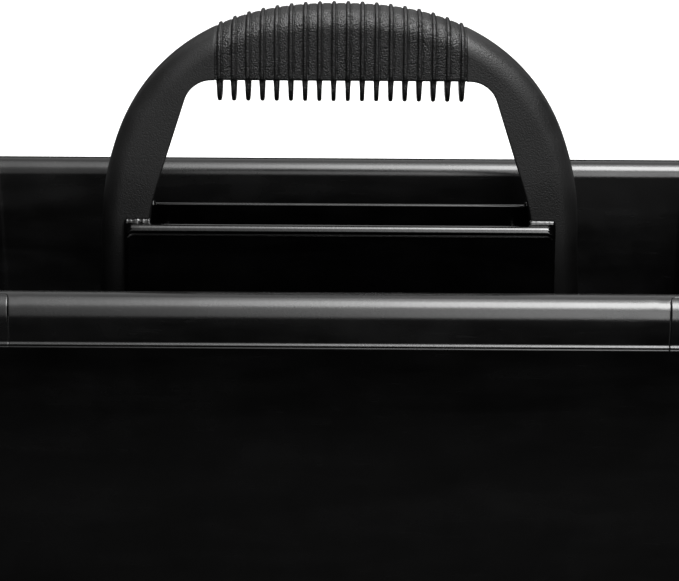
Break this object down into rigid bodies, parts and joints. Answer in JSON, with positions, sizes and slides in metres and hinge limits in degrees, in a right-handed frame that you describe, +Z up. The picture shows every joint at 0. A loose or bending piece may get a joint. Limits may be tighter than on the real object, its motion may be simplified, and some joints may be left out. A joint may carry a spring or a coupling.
{
  "type": "tool storage caddy",
  "caption": "Open hand-carried tub with a rolled rim, a centre well between two bays, and an arched handle with a soft finned grip.",
  "frame": {"origin": "centre of the footprint, on the surface that the foot ring stands on", "axes": "+Z up, X along the long side and along the grip, the front long side faces -Y"},
  "size_m": [0.421, 0.283, 0.278],
  "materials": {
    "gloss_black_shell": "moulded black polypropylene, glossy with faint flow marks and scuffs",
    "gloss_black_guard": "moulded black polypropylene, glossy, a little lighter than the tub",
    "grained_black_handle": "fine pebble grain, matte",
    "soft_black_grip": "soft moulded elastomer, fine pebble grain, matte",
    "screw_steel": "zinc plated"
  },
  "bodies": {
    "root": {"tub": "gloss_black_shell", "centre_well": "gloss_black_shell", "handle": "grained_black_handle", "grip_sleeve": "soft_black_grip", "corner_guard_front_left": "gloss_black_guard", "corner_guard_front_right": "gloss_black_guard", "corner_guard_back_left": "gloss_black_guard", "corner_guard_back_right": "gloss_black_guard", "handle_screw_front_left": "screw_steel", "handle_screw_front_right": "screw_steel", "handle_screw_back_left": "screw_steel", "handle_screw_back_right": "screw_steel"}
  },
  "joints": []
}
